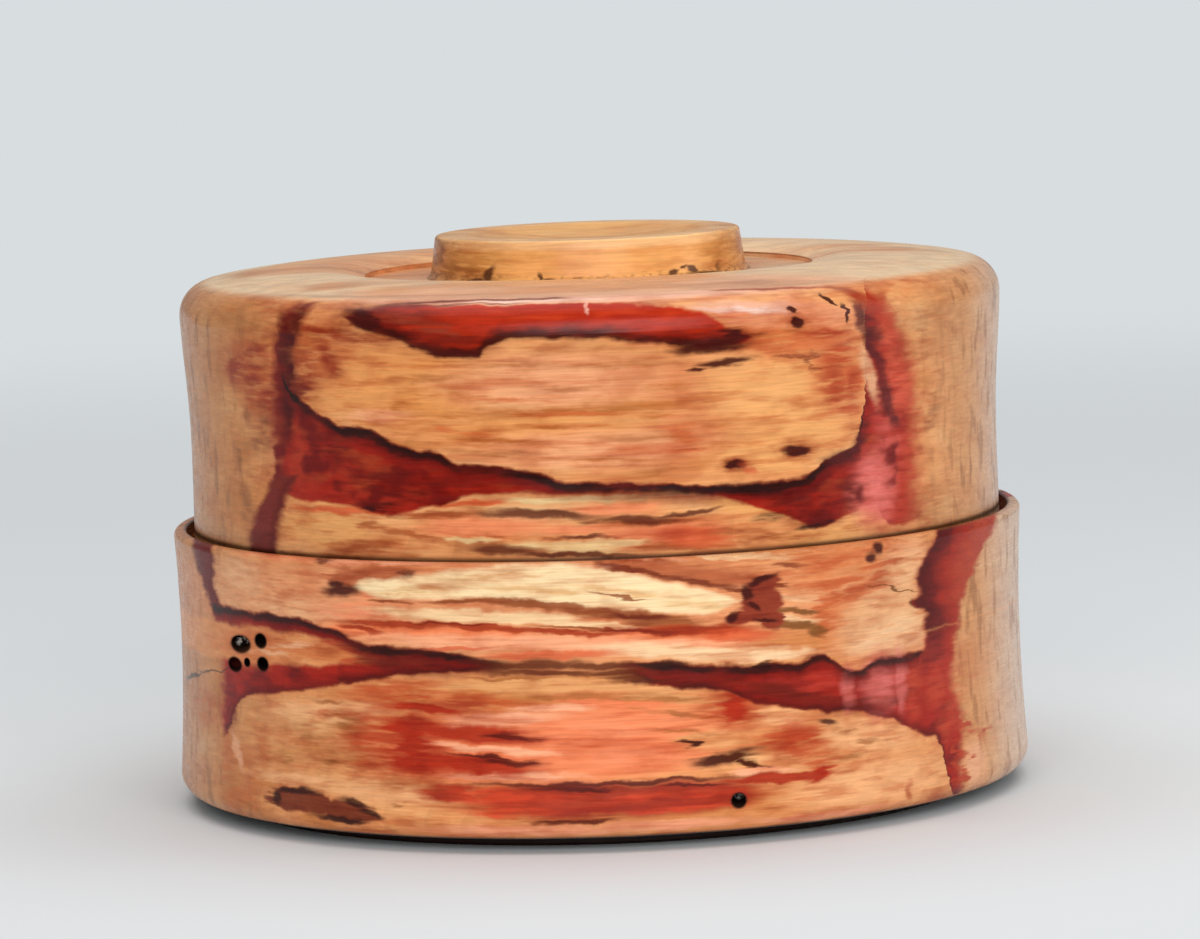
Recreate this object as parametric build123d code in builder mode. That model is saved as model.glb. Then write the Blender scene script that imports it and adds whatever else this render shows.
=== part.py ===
"""A turned round wooden box in three pieces: a base, a tall lift-off lid and a low round knob.

Sizes are millimetres. The origin is the middle of the foot, on the surface that the box stands on.
+Z is up the turning axis, and -Y is the side that faces the viewer.
"""

from build123d import *
from math import sqrt
import os

# Base, outside. The wall draws in to a waist and flares to a belly near the foot.
rim_radius = 62.6
rim_height = 40.8
base_waist_inset = 0.58  # how far the waist lies inside the rim
base_waist_height = 25.4
belly_flare = 0.45  # how far the belly stands out past the rim
base_corner_radius = 3.0
rim_outer_ease = 0.9  # sanded edges of the rim
rim_inner_ease = 0.35

# Base, underneath. A low foot ring is left standing round a shallow hollow.
foot_height = 1.8
foot_inset = 8.05  # how far the foot ring stands in from the belly
foot_land = 7.0
foot_edge_ease = 0.4
foot_hollow_rise = 1.6

# Base, inside
base_wall = 6.15  # thickness at the waist
base_floor = 5.6  # thickness above the underside
base_cove_radius = 6.0  # where the inside wall turns into the floor

# Fit of the lid. Its skirt drops into a tapered rebate in the rim and rests on the ledge.
lip_thickness = 1.9  # wood left outside the rebate at the mouth
mouth_clearance = 1.1  # radial gap round the lid at the mouth
seat_clearance = 0.35  # radial gap round the lid at the ledge
rebate_depth = 6.0

# Lid, outside. The wall draws in to a waist, then swells in an ogee to the shoulder.
lid_height = 43.45  # from the ledge to the crest of the top
lid_waist_inset = 0.2
lid_waist_height = 17.6  # above the ledge
lid_shoulder_flare = 0.9  # how far the wall, carried up to the top, stands out past the skirt
shoulder_radius = 4.8
skirt_edge_ease = 0.7

# Lid, top. A low rolled crest runs round a shallow recess that the knob stands in.
crest_radius = 40.2
crown_fall = 1.9  # from the crest out to the wall, carried up to the top
recess_radius = 32.95
recess_lip_fall = 1.2  # from the crest in to the lip of the recess
recess_step = 0.65

# Lid, inside
lid_wall = 4.45  # thickness at the waist
lid_crown = 7.5  # thickness between the recess floor and the hollow
lid_cove_radius = 8.0

# Knob. A low disc with a dished top, tapered sides and a small cove at its root.
knob_height = 6.2
knob_top_radius = 22.4
knob_neck_radius = 23.1
knob_root_radius = 23.9
knob_root_height = 1.3
knob_edge_ease = 0.6
dish_radius = 18.2
dish_depth = 1.7
dish_edge_ease = 0.8

# The knob's tenon, glued into a mortise in the lid
tenon_radius = 9.0
tenon_length = 4.0
tenon_chamfer = 0.5
glue_gap = 0.1  # round the tenon
glue_well = 0.4  # below the tenon

# Beetle galleries that open on the front of the base, each running straight back into the wall:
# across from the axis, height, half width, half height
gallery_depth = 4.5
gallery_mouths = [
    (-51.4, 27.4, 1.45, 1.2),
    (-48.3, 28.3, 0.8, 1.0),
    (-52.4, 24.3, 0.95, 1.0),
    (-50.5, 24.9, 0.4, 0.6),
    (-48.1, 25.0, 0.75, 0.95),
    (18.4, 6.4, 1.0, 1.0),
]

# Worked out from the sizes above
base_waist_radius = rim_radius - base_waist_inset
belly_radius = rim_radius + belly_flare
cavity_radius = base_waist_radius - base_wall
floor_height = foot_height + base_floor
mouth_radius = rim_radius - lip_thickness
skirt_radius = mouth_radius - mouth_clearance
ledge_radius = skirt_radius + seat_clearance
ledge_height = rim_height - rebate_depth
lid_waist = (skirt_radius - lid_waist_inset, ledge_height + lid_waist_height)
lid_cavity_radius = lid_waist[0] - lid_wall
crest_height = ledge_height + lid_height
shoulder_corner = (skirt_radius + lid_shoulder_flare, crest_height - crown_fall)
ogee_middle = ((lid_waist[0] + shoulder_corner[0]) / 2, (lid_waist[1] + shoulder_corner[1]) / 2)
lip_height = crest_height - recess_lip_fall
recess_floor_height = lip_height - recess_step
lid_ceiling_height = recess_floor_height - lid_crown
mortise_radius = tenon_radius + glue_gap
mortise_depth = tenon_length + glue_well
foot_outer_radius = belly_radius - foot_inset
foot_inner_radius = foot_outer_radius - foot_land


def corner_at(section, across, up):
    """The corner of a section that lies nearest a point."""
    return section.vertices().sort_by_distance(Vector(across, up))[0]


# Base: one section turned round the axis, with the galleries bored in from the front
with BuildPart() as base:
    with BuildSketch(Plane.XZ) as base_section:
        with BuildLine():
            TangentArc((base_waist_radius, base_waist_height), (rim_radius, rim_height), tangent=(0, 1))
            Polyline(
                (rim_radius, rim_height),
                (mouth_radius, rim_height),
                (ledge_radius, ledge_height),
                (cavity_radius, ledge_height),
                (cavity_radius, floor_height),
                (0, floor_height),
                (0, foot_hollow_rise),
            )
            RadiusArc(
                (0, foot_hollow_rise),
                (foot_inner_radius, 0),
                (foot_inner_radius**2 + foot_hollow_rise**2) / (2 * foot_hollow_rise),
            )
            Polyline(
                (foot_inner_radius, 0),
                (foot_outer_radius, 0),
                (foot_outer_radius, foot_height),
                (belly_radius, foot_height),
            )
            TangentArc((base_waist_radius, base_waist_height), (belly_radius, foot_height), tangent=(0, -1))
        make_face()
        fillet(corner_at(base_section, belly_radius, foot_height), base_corner_radius)
        fillet(corner_at(base_section, rim_radius, rim_height), rim_outer_ease)
        fillet(corner_at(base_section, mouth_radius, rim_height), rim_inner_ease)
        fillet(corner_at(base_section, cavity_radius, floor_height), base_cove_radius)
        fillet(corner_at(base_section, foot_outer_radius, 0), foot_edge_ease)
    revolve(axis=Axis.Z)
    for across, up, half_width, half_height in gallery_mouths:
        wall_front = sqrt(base_waist_radius**2 - across**2)
        with BuildSketch(Plane.XZ.offset(wall_front - gallery_depth)):
            with Locations((across, up)):
                Ellipse(half_width, half_height)
        extrude(amount=gallery_depth + base_wall, mode=Mode.SUBTRACT)

# Lid: one section turned round the axis
with BuildPart() as lid:
    with BuildSketch(Plane.XZ) as lid_section:
        with BuildLine():
            TangentArc(lid_waist, ogee_middle, tangent=(0, 1))
            TangentArc(shoulder_corner, ogee_middle, tangent=(0, -1))
            TangentArc((crest_radius, crest_height), shoulder_corner, tangent=(1, 0))
            TangentArc((crest_radius, crest_height), (recess_radius, lip_height), tangent=(-1, 0))
            Polyline(
                (recess_radius, lip_height),
                (recess_radius, recess_floor_height),
                (mortise_radius, recess_floor_height),
                (mortise_radius, recess_floor_height - mortise_depth),
                (0, recess_floor_height - mortise_depth),
                (0, lid_ceiling_height),
                (lid_cavity_radius, lid_ceiling_height),
                (lid_cavity_radius, ledge_height),
                (skirt_radius, ledge_height),
            )
            TangentArc(lid_waist, (skirt_radius, ledge_height), tangent=(0, -1))
        make_face()
        fillet(corner_at(lid_section, *shoulder_corner), shoulder_radius)
        fillet(corner_at(lid_section, lid_cavity_radius, lid_ceiling_height), lid_cove_radius)
        fillet(corner_at(lid_section, skirt_radius, ledge_height), skirt_edge_ease)
    revolve(axis=Axis.Z)

# Knob: a disc standing on the recess floor, with its tenon down in the mortise
knob_top_height = recess_floor_height + knob_height
neck_height = recess_floor_height + knob_root_height
dish_floor_height = knob_top_height - dish_depth
with BuildPart() as knob:
    with BuildSketch(Plane.XZ) as knob_section:
        with BuildLine():
            Polyline((0, dish_floor_height), (0, recess_floor_height - tenon_length))
            Polyline(
                (0, recess_floor_height - tenon_length),
                (tenon_radius, recess_floor_height - tenon_length),
                (tenon_radius, recess_floor_height),
                (knob_root_radius, recess_floor_height),
            )
            TangentArc(
                (knob_neck_radius, neck_height),
                (knob_root_radius, recess_floor_height),
                tangent=(knob_neck_radius - knob_top_radius, neck_height - knob_top_height),
            )
            Polyline(
                (knob_neck_radius, neck_height),
                (knob_top_radius, knob_top_height),
                (dish_radius, knob_top_height),
            )
            RadiusArc(
                (dish_radius, knob_top_height),
                (0, dish_floor_height),
                (dish_radius**2 + dish_depth**2) / (2 * dish_depth),
            )
        make_face()
        fillet(corner_at(knob_section, knob_top_radius, knob_top_height), knob_edge_ease)
        fillet(corner_at(knob_section, dish_radius, knob_top_height), dish_edge_ease)
        chamfer(corner_at(knob_section, tenon_radius, recess_floor_height - tenon_length), tenon_chamfer)
    revolve(axis=Axis.Z)

base.part.label = "base"
lid.part.label = "lid"
knob.part.label = "knob"

os.makedirs("parts", exist_ok=True)
for piece in (base, lid, knob):
    export_step(piece.part, f"parts/{piece.part.label}.step")
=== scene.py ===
"""A turned lidded box of flame box elder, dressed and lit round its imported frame.

Lengths in the wood's figure are millimetres: across is +X, to the viewer's right, and up is +Z. On the
lid's top, up runs on from the wall, over the shoulder and in towards the knob.
"""

import bpy
from functools import partial
from math import cos, radians, sin, tan
from mathutils import Matrix, Vector

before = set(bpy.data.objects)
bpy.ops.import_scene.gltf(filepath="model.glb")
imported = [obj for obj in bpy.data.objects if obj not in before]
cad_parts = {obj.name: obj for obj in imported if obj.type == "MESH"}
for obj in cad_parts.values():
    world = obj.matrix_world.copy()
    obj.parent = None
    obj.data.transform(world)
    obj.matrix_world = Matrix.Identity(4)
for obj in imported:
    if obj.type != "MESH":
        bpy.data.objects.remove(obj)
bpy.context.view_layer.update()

MM = 0.001

# The box as it is turned, in mm
RIM_HEIGHT = 40.8
BASE_EDGE_HEIGHT = 1.8
LID_TOP_RADIUS = 58.45
RECESS_RADIUS = 32.95
RECESS_LIP_HEIGHT = 77.05
KNOB_FOOT_HEIGHT = 76.4
KNOB_TOP_HEIGHT = 82.6
KNOB_DISH_RADIUS = 18.2

# Box elder, turned, sanded, oiled and waxed: a pale, close wood that shines like satin. Solid wax has
# an IOR of about 1.44, but a wiped film that the fibres break mirrors less, and dark stains stay deep.
WAXED_IOR = 1.28
WAXED_ROUGHNESS = 0.28
FIBRE_RELIEF = 0.08 * MM

# Pale sapwood, and the stains that a living tree lays down round a wound
CREAM = "#F6BC82"
SAPWOOD = "#EDA468"
TAN = "#E2935A"
HONEY = "#CF7F42"
RUSSET = "#B05C28"
UMBER = "#8A4A24"
BARK_BROWN = "#4A1608"
CRIMSON = "#A51E12"
MAROON = "#6E0A04"
ZONE_LINE = "#240502"


def linear(hex_colour):
    """An sRGB hex colour as the linear RGBA that shader sockets take."""
    channels = [int(hex_colour[i : i + 2], 16) / 255 for i in (1, 3, 5)]
    return [c / 12.92 if c <= 0.04045 else ((c + 0.055) / 1.055) ** 2.4 for c in channels] + [1]


def add(tree, kind, *sockets, named=None, **settings):
    """Add a node to a tree with its settings, and set or link its input sockets, in order or by name.

    A map range is a smooth step unless told otherwise. That keeps within its range by itself, and with
    their clamps left on, so many of them would overfill the renderer's shader stack."""
    node = tree.nodes.new("ShaderNode" + kind)
    if kind == "MapRange":
        node.interpolation_type, node.clamp = "SMOOTHSTEP", False
    for name, value in settings.items():
        setattr(node, name, value)
    for socket, value in [*enumerate(sockets), *(named or {}).items()]:
        if isinstance(value, bpy.types.Node):
            value = next(out for out in value.outputs if out.enabled)
        if isinstance(value, bpy.types.NodeSocket):
            tree.links.new(value, node.inputs[socket])
        else:
            node.inputs[socket].default_value = value
    return node


def leaf_shape():
    """A node group that covers one leaf shape in a plane, beside what is covered already. Turn is (0, 0,
    tan(lean)): adding a cross product with it turns the leaf, and lengthens it by 1 / cos(lean)."""
    group = bpy.data.node_groups.new("leaf_shape", "ShaderNodeTree")
    vectors, numbers = ("Place", "Middle", "Turn", "Half Size"), ("Outer", "Inner", "Strength", "Covered")
    for name in vectors:
        group.interface.new_socket(name, in_out="INPUT", socket_type="NodeSocketVector")
    for name in numbers:
        group.interface.new_socket(name, in_out="INPUT", socket_type="NodeSocketFloat")
    group.interface.new_socket("Cover", in_out="OUTPUT", socket_type="NodeSocketFloat")
    given = group.nodes.new("NodeGroupInput").outputs
    place, middle, turn, half_size, outer, inner, strength, covered, _ = given
    place = add(group, "VectorMath", place, middle, operation="SUBTRACT")
    turned = add(group, "VectorMath", place, turn, operation="CROSS_PRODUCT")
    place = add(group, "VectorMath", place, turned, operation="ADD")
    place = add(group, "VectorMath", place, half_size, operation="DIVIDE")
    out = add(group, "VectorMath", place, operation="LENGTH").outputs["Value"]
    cover = add(group, "MapRange", out, outer, inner, 0.0, strength)
    cover = add(group, "Math", cover, covered, operation="MAXIMUM")
    group.links.new(cover.outputs["Value"], group.nodes.new("NodeGroupOutput").inputs["Cover"])
    return group


LEAF_SHAPE = leaf_shape()


class Board:
    """The figure of one piece of wood, laid on its material stain by stain."""

    across_span = 128.0  # mm that the lines' curves cover, from 64 left of the axis to 64 right
    up_span = 100.0
    front_ends = (-6, 22)  # mm along +Y over which the figure drawn for the front loses its order
    wall_ends = (56, 50)  # mm from the axis over which the same happens inside the walls
    side_starts = (44, 54)  # mm to either side of the axis where the wall begins to cut across the fibres
    edge_starts = (53, 61)  # mm to either side of the axis where it turns edge on to the front
    soaked_softness = 0.6  # strokes at least this soft have soaked in unevenly

    def __init__(self, name, top_starts=None, wanders=True):
        """top_starts is the radius inside which up runs inwards over a flat top. The figure of a board
        that doesn't wander is the same all the way through."""
        self.wanders = wanders
        self.material = bpy.data.materials.new(name)
        self.material.use_nodes = True
        self.material.node_tree.nodes.clear()
        self.add = partial(add, self.material.node_tree)
        at_rest = self.add("TexCoord").outputs["Object"]
        self.spot = self.add("VectorMath", at_rest, named={"Scale": 1 / MM}, operation="SCALE")
        self.x, self.y, self.z = self.add("SeparateXYZ", self.spot).outputs
        flat = self.add("VectorMath", self.spot, (1, 1, 0), operation="MULTIPLY")
        self.radius = self.add("VectorMath", flat, operation="LENGTH").outputs["Value"]
        up = self.z
        if top_starts:
            inwards = self.add("Math", top_starts, self.radius, operation="SUBTRACT")
            inwards = self.add("Math", inwards, 0, operation="MAXIMUM")
            up = self.add("Math", self.z, inwards, operation="ADD")
        self.lay_out(up)

    def grain(self, size, detail=2.0, seed=0.0):
        """Soft random mottling, 0 to 1, with features of the given size in mm along X, Y and Z."""
        place = self.add(
            "Mapping", named={"Vector": self.spot, "Location": (seed,) * 3, "Scale": [1 / s for s in size]}
        )
        return self.add("TexNoise", named={"Vector": place, "Scale": 1.0, "Detail": detail})

    def drift(self, size, reach, detail, seed):
        """A random shift of place, across and up, that reaches about so many mm each way."""
        grain = self.grain(size, detail, seed).outputs["Color"]
        centred = self.add("VectorMath", grain, (0.5, 0.5, 0.5), operation="SUBTRACT")
        return self.add("VectorMath", centred, (4 * reach[0], 4 * reach[1], 0), operation="MULTIPLY")

    def lay_out(self, up):
        """Set the places, (across, up, 0) in mm, that the stains are drawn at. Stain creeps along the
        fibres, so the tips of its strokes are frayed along X. Deeper in the block, behind the front and
        inside the walls, the figure has moved across and wanders."""
        board = self.add("CombineXYZ", self.x, up)
        behind = self.add("MapRange", self.y, *self.front_ends)
        within = self.add("MapRange", self.radius, *self.wall_ends)
        self.depth = self.add("Math", behind, within, operation="MAXIMUM")
        if self.wanders:
            wander = self.drift((60, 36, 30), (7, 3), detail=1.0, seed=3.1)
            wander = self.add("VectorMath", wander, (-22, 3, 0), operation="ADD")
            wander = self.add("VectorMath", wander, named={"Scale": self.depth}, operation="SCALE")
            board = self.add("VectorMath", board, wander, operation="ADD")
        self.board = board
        wobble = self.drift((3.5, 4, 2.4), (0.5, 0.4), detail=3.0, seed=1.3)
        self.wobbly = self.add("VectorMath", board, wobble, operation="ADD")
        self.creep = self.drift((9, 4, 0.9), (1, 1), detail=4.0, seed=7.7)
        self.across, self.up = self.add("SeparateXYZ", self.crept(0.25, 0.08)).outputs[:2]
        per_mm = 1 / self.across_span
        self.across_share = self.add("Math", self.across, per_mm, 0.5, operation="MULTIPLY_ADD")
        self.up_share = self.add("Math", self.up, self.up_span, operation="DIVIDE")
        uneven = self.grain((7, 6, 2.6), detail=3.0, seed=81.0)
        self.uneven = self.add("MapRange", uneven, 0.34, 0.54, 0.78, 1.0)
        soaked = self.grain((6, 5, 0.9), detail=4.0, seed=27.0)
        self.soaked = self.add("MapRange", soaked, 0.36, 0.56, 0.35, 1.0)

    def crept(self, along, across_grain):
        """The places, moved as stain creeps: so many mm along the fibres and across them."""
        reach = (along, across_grain, 0)
        return self.add("VectorMath", self.creep, reach, self.wobbly, operation="MULTIPLY_ADD")

    def line(self, share, points):
        """A smooth line through points given as shares of the spans."""
        node = self.add("FloatCurve", named={"Value": share})
        curve = node.mapping.curves[0]
        for _ in points[2:]:
            curve.points.new(0.5, 0.5)
        for point, place in zip(curve.points, sorted(points)):
            point.location = place
            point.handle_type = "AUTO_CLAMPED"
        node.mapping.extend = "HORIZONTAL"
        node.mapping.update()
        return node

    def above(self, *points):
        """How far up a place is, in mm, from a line that runs across through (across, up) points."""
        points = [(across / self.across_span + 0.5, up / self.up_span) for across, up in points]
        line = self.line(self.across_share, points)
        return self.add("Math", line, -self.up_span, self.up, operation="MULTIPLY_ADD")

    def below(self, *points):
        """How far down a place is, in mm, from a line that runs across."""
        return self.add("Math", self.above(*points), -1, operation="MULTIPLY")

    def right_of(self, *points):
        """How far right a place is, in mm, from a line that runs upwards through (across, up) points."""
        points = [(up / self.up_span, across / self.across_span + 0.5) for across, up in points]
        line = self.add("Math", self.line(self.up_share, points), 0.5, operation="SUBTRACT")
        return self.add("Math", line, -self.across_span, self.across, operation="MULTIPLY_ADD")

    def opposite(self, distance):
        """The same distance, counted to the other side."""
        return self.add("Math", distance, -1, operation="MULTIPLY")

    def inside(self, *distances, soft=0.3):
        """Cover of the ground that lies on the positive side of all the lines."""
        nearest = distances[0]
        for distance in distances[1:]:
            nearest = self.add("Math", nearest, distance, operation="MINIMUM")
        return self.add("MapRange", nearest, -soft, soft)

    def leaves(self, *leaves, soft=0.35, strength=1.0, fray=2.0):
        """Cover of leaf shapes, each (across, up, half length, half height) and its lean in degrees. Fray
        is how far, in mm, their tips are drawn out along the fibres. With none the shapes are exact."""
        place = self.crept(fray, 0.14) if fray else self.board
        cover = 0.0
        for across, up, half_length, half_height, *lean in leaves:
            lean = radians(*lean) if lean else 0.0
            half_size = (half_length / cos(lean), half_height / cos(lean), 1)
            shape = (place, (across, up, 0), (0, 0, tan(lean)), half_size, 1 + soft, 1 - soft, strength)
            cover = self.add("Group", *shape, cover, node_tree=LEAF_SHAPE)
        return cover

    def overlap(self, *covers):
        """Cover of the ground where all the covers lie."""
        whole = covers[0]
        for cover in covers[1:]:
            whole = self.add("Math", whole, cover, operation="MULTIPLY")
        return whole

    def outside(self, cover):
        """Cover of the ground that a cover leaves free."""
        return self.add("Math", 1, cover, operation="SUBTRACT")

    def band(self, along, start, end, soft=1.0):
        """Cover of the ground from start to end, in mm, along a coordinate."""
        past_start = self.add("MapRange", along, start - soft, start + soft)
        short_of_end = self.add("MapRange", along, end + soft, end - soft)
        return self.overlap(past_start, short_of_end)

    def stain(self, colour, cover):
        """Lay a colour over the wood."""
        if isinstance(colour, str):
            colour = linear(colour)
        self.colour = self.add("Mix", named={0: cover, 6: self.colour, 7: colour}, data_type="RGBA")

    def strokes(self, colour, *leaves, soft=0.5, strength=0.85, fray=2.0):
        """Lay leaf-shaped strokes of a colour. Soft ones have soaked in unevenly along the fibres."""
        cover = self.leaves(*leaves, soft=soft, strength=strength, fray=fray)
        if soft >= self.soaked_softness:
            cover = self.overlap(cover, self.soaked)
        self.stain(colour, cover)

    def layers(self, distance, stops, within=None):
        """Lay the bands along a line: stops are (mm past the line, colour, cover)."""
        start, end = stops[0][0], stops[-1][0]
        share = self.add("MapRange", distance, start, end, interpolation_type="LINEAR")
        ramp = self.add("ValToRGB", share)
        elements = ramp.color_ramp.elements
        for _ in stops[2:]:
            elements.new(0.5)
        for element, (past, colour, cover) in zip(elements, stops):
            element.position = (past - start) / (end - start)
            element.color = linear(colour)[:3] + [cover]
        covers = [ramp.outputs["Alpha"], self.uneven] + ([within] if within else [])
        self.stain(ramp.outputs["Color"], self.overlap(*covers))

    def wash(self, colour, cover):
        """Deepen the wood with a thin dye."""
        colours = {0: cover, 6: self.colour, 7: linear(colour)}
        self.colour = self.add("Mix", named=colours, data_type="RGBA", blend_type="MULTIPLY")

    def lay_sapwood(self):
        """The unstained wood: golden, with long soft streaks along the grain and faint ring lines. At the
        sides, where the wall cuts across the fibres, it is duller, shows its pores, and takes up the oil
        evenly."""
        tone = self.grain((30, 10, 4.5), detail=2.0, seed=11.0)
        ramp = self.add("ValToRGB", tone)
        tones = ((0.3, HONEY), (0.45, TAN), (0.6, SAPWOOD), (0.76, CREAM))
        for _ in tones[2:]:
            ramp.color_ramp.elements.new(0.5)
        for element, (at, colour) in zip(ramp.color_ramp.elements, tones):
            element.position, element.color = at, linear(colour)
        self.colour = ramp.outputs["Color"]
        streaks = self.grain((24, 4, 0.9), detail=3.0, seed=21.0)
        self.stain(RUSSET, self.add("MapRange", streaks, 0.52, 0.78, 0.0, 0.6))
        right = self.add("Math", self.x, 0, operation="GREATER_THAN")
        aside = self.add("Math", self.x, operation="ABSOLUTE")
        side = self.add("MapRange", aside, *self.side_starts)
        edge = self.add("MapRange", aside, *self.edge_starts)
        dull = {0: right, 6: linear("#C08048"), 7: linear("#CE9866")}
        dull = self.add("Mix", named=dull, data_type="RGBA")
        self.stain(dull.outputs[2], self.add("Math", side, 0.6, operation="MULTIPLY"))
        # Where the wall turns edge on it is painted paler and greyer: a painted sheen, stronger on the
        # right
        painted_edge_sheen = self.add("MapRange", right, 0, 1, 0.1, 0.65)
        self.stain("#DCC6B2", self.overlap(edge, painted_edge_sheen))
        self.smooth = side  # where the wood takes up the oil evenly
        pores = self.grain((2.4, 2.4, 7), detail=3.0, seed=61.0)
        pores = self.add("MapRange", pores, 0.53, 0.66, 0.0, 0.6)
        self.stain("#9A6238", self.overlap(pores, side))
        ring_width, ring_lean, ring_waves = 3.4, 0.14, 16
        rings = self.grain((50, 30, 22), seed=5.0)
        rings = self.add("Math", rings, ring_waves, self.y, operation="MULTIPLY_ADD")
        rings = self.add("Math", self.z, ring_lean, rings, operation="MULTIPLY_ADD")
        rings = self.add("Math", rings, ring_width, operation="DIVIDE")
        rings = self.add("Math", rings, operation="FRACT")
        self.stain(UMBER, self.add("MapRange", rings, 0.7, 0.97, 0.0, 0.12))
        self.unstained = self.colour

    def fade_with_depth(self):
        """Deeper in the block the stain reaches only some patches of the wood."""
        patches = self.grain((34, 22, 12), detail=2.0, seed=17.0)
        reach = self.add("MapRange", patches, 0.42, 0.58, 0.85, 0.1)
        self.stain(self.unstained, self.overlap(self.depth, reach))

    def finish(self, bored=0.0):
        """Oil and wax. The wood took up the oil unevenly, darker along open fibres, and a wiped coat of
        wax leaves it satin, with the fibres just felt. Bored ground is raw and matt."""
        thirsty = self.add("Math", self.smooth, -0.75, 1, operation="MULTIPLY_ADD")
        open_fibres = self.grain((13, 5, 1.3), detail=5.0, seed=71.0)
        open_fibres = self.add("MapRange", open_fibres, 0.47, 0.68, 0.0, 0.52)
        self.wash("#C87C48", self.overlap(open_fibres, thirsty))
        clouds = self.grain((7, 6, 4), detail=4.0, seed=91.0)
        clouds = self.add("MapRange", clouds, 0.48, 0.68, 0.0, 0.36)
        self.wash("#C8865C", self.overlap(clouds, thirsty))
        fibre = self.grain((9, 2.4, 0.28), detail=3.0, seed=31.0)
        shade = self.add("MapRange", fibre, 0.25, 0.75, 0.9, 1.1)
        tinted = {0: 1.0, 6: self.colour, 7: shade}
        colour = self.add("Mix", named=tinted, data_type="RGBA", blend_type="MULTIPLY")
        patches = self.grain((6, 2, 1.2), seed=41.0)
        rough = self.add("MapRange", patches, 0.3, 0.7, WAXED_ROUGHNESS - 0.05, WAXED_ROUGHNESS + 0.06)
        rough = self.add("Math", rough, bored, operation="MAXIMUM")
        bump = self.add("Bump", named={"Height": fibre, "Strength": 0.12, "Distance": FIBRE_RELIEF})
        shader = self.add(
            "BsdfPrincipled",
            named={"Base Color": colour, "Roughness": rough, "IOR": WAXED_IOR, "Normal": bump},
        )
        self.add("OutputMaterial", shader)
        return self.material


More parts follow.
